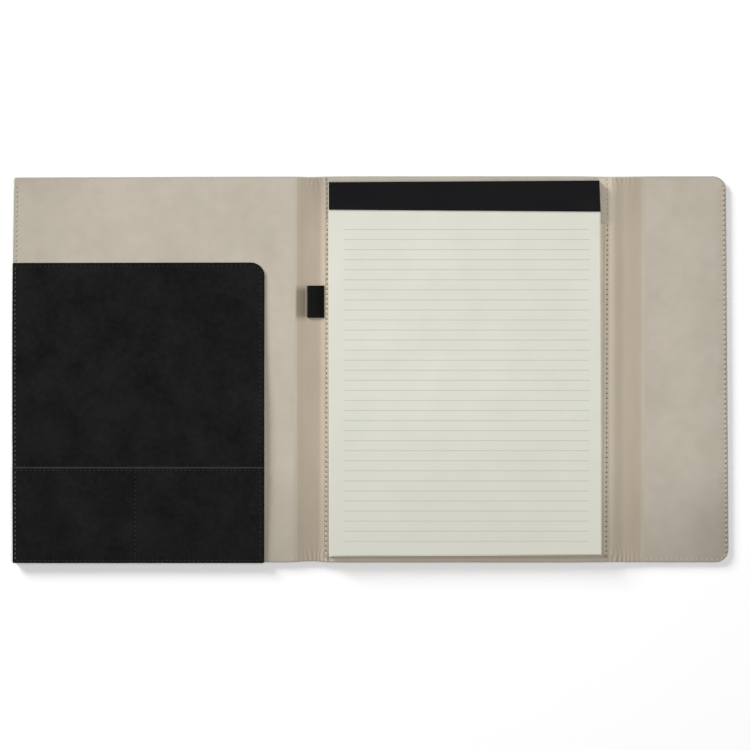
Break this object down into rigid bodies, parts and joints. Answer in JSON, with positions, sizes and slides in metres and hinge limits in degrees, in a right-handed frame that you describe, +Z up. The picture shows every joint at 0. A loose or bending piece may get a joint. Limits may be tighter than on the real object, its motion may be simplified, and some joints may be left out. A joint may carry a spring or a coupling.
{
  "type": "magnetic flap portfolio",
  "caption": "Folding portfolio lying open: front cover with pockets, spine, back panel with a ruled writing pad in a sleeve, and a gusset with a closing flap held by magnets.",
  "frame": {"origin": "middle of the open portfolio's outline, on the surface that it lies on", "axes": "+X from the front cover's free edge to the flap's free edge, +Y towards the head of the writing pad, +Z up"},
  "size_m": [0.567, 0.305, 0.0111],
  "materials": {
    "outer_leather": "satin",
    "pocket_leather": "matte",
    "lining": "matte",
    "foam": "matte",
    "board": "matte",
    "magnet": "satin",
    "elastic": "matte",
    "paper": "matte",
    "backing_card": "matte",
    "binding": "satin",
    "staple": "satin"
  },
  "bodies": {
    "back": {"back_outer": "outer_leather", "back_foam": "foam", "back_board": "board", "back_lining": "lining", "pad_sleeve": "lining", "pen_loop": "elastic"},
    "spine": {"spine_outer": "outer_leather", "spine_lining": "lining"},
    "front": {"front_outer": "outer_leather", "front_foam": "foam", "front_board": "board", "front_lining": "lining", "front_keeper_upper": "magnet", "front_keeper_lower": "magnet", "document_pocket": "pocket_leather", "card_pocket": "pocket_leather"},
    "gusset": {"gusset_outer": "outer_leather", "gusset_lining": "lining"},
    "flap": {"flap_outer": "outer_leather", "flap_board": "board", "flap_lining": "lining", "flap_magnet_upper": "magnet", "flap_magnet_lower": "magnet"},
    "pad": {"pad_backing": "backing_card", "pad_sheets": "paper", "pad_binding": "binding", "staple_left": "staple", "staple_middle": "staple", "staple_right": "staple"},
    "sheet": {"top_sheet": "paper"}
  },
  "joints": [
    {"name": "spine_fold", "type": "hinge", "parent": "back", "child": "spine", "pos_m": [-0.0385, 0, 0.00045], "axis": [0, 1, 0], "range_deg": [0, 90], "deforming": ["pen_loop"]},
    {"name": "cover_fold", "type": "hinge", "parent": "spine", "child": "front", "pos_m": [-0.058, 0, 0.00045], "axis": [0, 1, 0], "range_deg": [0, 90]},
    {"name": "gusset_fold", "type": "hinge", "parent": "back", "child": "gusset", "pos_m": [0.1915, 0, 0.00045], "axis": [0, -1, 0], "range_deg": [0, 90]},
    {"name": "flap_fold", "type": "hinge", "parent": "gusset", "child": "flap", "pos_m": [0.2155, 0, 0.00045], "axis": [0, -1, 0], "range_deg": [0, 90]},
    {"name": "pad_slide", "type": "slide", "parent": "back", "child": "pad", "axis": [0, 1, 0], "range_m": [0, 0.27]},
    {"name": "sheet_turn", "type": "hinge", "parent": "pad", "child": "sheet", "pos_m": [0.07505, 0.1264, 0.0114], "axis": [-1, 0, 0], "range_deg": [0, 175]}
  ]
}
